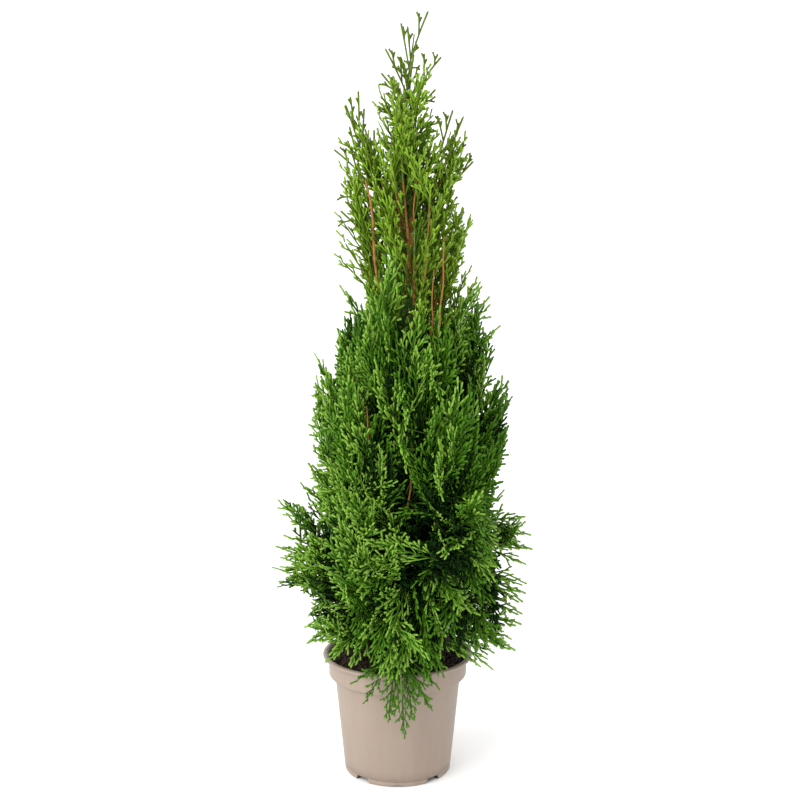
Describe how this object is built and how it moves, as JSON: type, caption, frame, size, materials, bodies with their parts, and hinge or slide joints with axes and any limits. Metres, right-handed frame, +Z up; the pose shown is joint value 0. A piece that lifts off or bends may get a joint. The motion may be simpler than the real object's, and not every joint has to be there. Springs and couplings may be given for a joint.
{
  "type": "potted thuja",
  "caption": "Upright young thuja with flat scaly sprays, in a tapered round plastic nursery pot with a stepped band and a rolled rim.",
  "frame": {"origin": "centre of the pot's flat underside", "axes": "+Z up along the trunk, -Y towards the front of the plant"},
  "size_m": [0.315, 0.2705, 0.944],
  "materials": {
    "pot_plastic": "satin taupe moulded plastic",
    "compost": "rough damp compost",
    "bark": "rough fibrous brown bark",
    "young_bark": "smoother orange-brown bark",
    "foliage": "matte green scale leaves",
    "young_foliage": "matte bright green scale leaves"
  },
  "bodies": {
    "root": {"bough_crest_1": "young_bark", "bough_crest_2": "young_bark", "bough_crest_3": "young_bark", "bough_crest_4": "young_bark", "bough_hanging": "young_bark", "bough_lower_1": "bark", "bough_lower_2": "bark", "bough_lower_3": "bark", "bough_lower_4": "bark", "bough_lower_5": "bark", "bough_lower_6": "bark", "bough_middle_1": "bark", "bough_middle_2": "bark", "bough_middle_3": "bark", "bough_middle_4": "bark", "bough_middle_5": "bark", "bough_shoulder_1": "bark", "bough_shoulder_2": "bark", "bough_shoulder_3": "bark", "bough_shoulder_4": "bark", "bough_skirt_1": "bark", "bough_skirt_2": "bark", "bough_skirt_3": "bark", "bough_skirt_4": "bark", "bough_spire_1": "bark", "bough_spire_2": "bark", "bough_spire_3": "bark", "bough_spire_4": "bark", "compost": "compost", "foliage_crest_1": "young_foliage", "foliage_crest_2": "young_foliage", "foliage_crest_3": "young_foliage", "foliage_crest_4": "young_foliage", "foliage_hanging": "young_foliage", "foliage_lower_1": "foliage", "foliage_lower_2": "foliage", "foliage_lower_3": "foliage", "foliage_lower_4": "foliage", "foliage_lower_5": "foliage", "foliage_lower_6": "foliage", "foliage_middle_1": "foliage", "foliage_middle_2": "foliage", "foliage_middle_3": "foliage", "foliage_middle_4": "foliage", "foliage_middle_5": "foliage", "foliage_shoulder_1": "foliage", "foliage_shoulder_2": "foliage", "foliage_shoulder_3": "foliage", "foliage_shoulder_4": "foliage", "foliage_skirt_1": "foliage", "foliage_skirt_2": "foliage", "foliage_skirt_3": "foliage", "foliage_skirt_4": "foliage", "foliage_spire_1": "young_foliage", "foliage_spire_2": "young_foliage", "foliage_spire_3": "young_foliage", "foliage_spire_4": "young_foliage", "foliage_top": "young_foliage", "pot": "pot_plastic", "trunk": "bark"}
  },
  "joints": []
}
